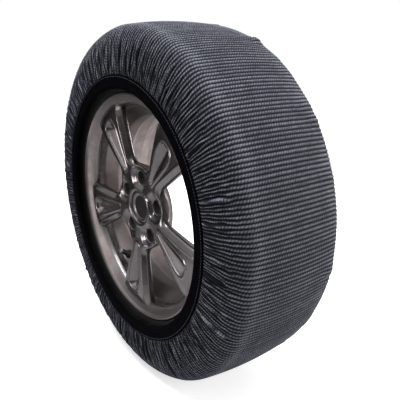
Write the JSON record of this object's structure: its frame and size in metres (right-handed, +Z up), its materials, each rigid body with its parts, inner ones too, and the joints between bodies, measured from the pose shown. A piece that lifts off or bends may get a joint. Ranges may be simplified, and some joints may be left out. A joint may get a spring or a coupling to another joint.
{
  "type": "snow sock tire",
  "caption": "Ribbed textile snow sock with padded elastic hems stretched over a radial car tyre on a cast alloy wheel with split arms.",
  "frame": {"origin": "centre of the wheel, on the axle line and in the tyre's centre plane", "axes": "Y is the axle: -Y is the outer visible face and +Y faces the vehicle; +Z is up"},
  "size_m": [0.6415, 0.2136, 0.6416],
  "materials": {
    "sock_fabric": "ribbed woven textile, dark grey with lighter stitched ribs",
    "hem_fabric": "black knitted binding, matt",
    "hem_thread": "twisted polyester thread",
    "elastic_cord": "braided elastic cord",
    "wheel_alloy": "warm dark silver lacquer",
    "cap_plastic": "black moulded plastic",
    "spring_steel": "bright zinc",
    "valve_rubber": "moulded rubber",
    "valve_brass": "machined brass",
    "weight_metal": "coated zinc blocks",
    "weight_tape_foam": "foam adhesive tape",
    "tread_rubber": "matt vulcanised rubber",
    "sidewall_rubber": "satin moulded rubber",
    "liner_rubber": "smooth butyl rubber",
    "filler_rubber": "hard rubber",
    "ply_cord": "rubbered textile cords",
    "belt_steel": "rubbered steel cords",
    "bead_steel": "bronze coated steel wire"
  },
  "bodies": {
    "wheel": {"alloy_wheel": "wheel_alloy", "valve_body": "valve_rubber", "valve_insert": "valve_brass", "valve_core": "valve_brass", "balance_weights": "weight_metal", "weight_tape": "weight_tape_foam", "tread": "tread_rubber", "cap_ply": "ply_cord", "outer_belt": "belt_steel", "inner_belt": "belt_steel", "carcass_ply": "ply_cord", "inner_liner": "liner_rubber", "outer_sidewall": "sidewall_rubber", "inner_sidewall": "sidewall_rubber", "outer_bead_core": "bead_steel", "inner_bead_core": "bead_steel", "outer_bead_filler": "filler_rubber", "inner_bead_filler": "filler_rubber"},
    "sock": {"sock_fabric": "sock_fabric", "seam_tape": "hem_fabric", "outer_hem": "hem_fabric", "outer_elastic_cord": "elastic_cord", "outer_cord_crimp": "spring_steel", "outer_hem_thread": "hem_thread", "inner_hem": "hem_fabric", "inner_elastic_cord": "elastic_cord", "inner_cord_crimp": "spring_steel", "inner_hem_thread": "hem_thread"},
    "hub_cap": {"centre_cap": "cap_plastic", "cap_spring_ring": "spring_steel"},
    "valve_lid": {"valve_cap": "cap_plastic"},
    "valve_pin": {"valve_core_pin": "valve_brass"}
  },
  "joints": [
    {"name": "sock_creep", "type": "hinge", "parent": "wheel", "child": "sock", "pos_m": [0, 0, 0], "axis": [0, 1, 0], "continuous": true},
    {"name": "cap_pull", "type": "slide", "parent": "wheel", "child": "hub_cap", "axis": [0, -1, 0], "range_m": [0, 0.02]},
    {"name": "valve_cap_turn", "type": "hinge", "parent": "wheel", "child": "valve_lid", "pos_m": [-0.09799, -0.06555, -0.11678], "axis": [0.4545, -0.7071, 0.5417], "continuous": true},
    {"name": "valve_pin_press", "type": "slide", "parent": "wheel", "child": "valve_pin", "axis": [-0.4545, 0.7071, -0.5417], "range_m": [0, 0.0015], "stiffness_N_per_m": 300}
  ]
}
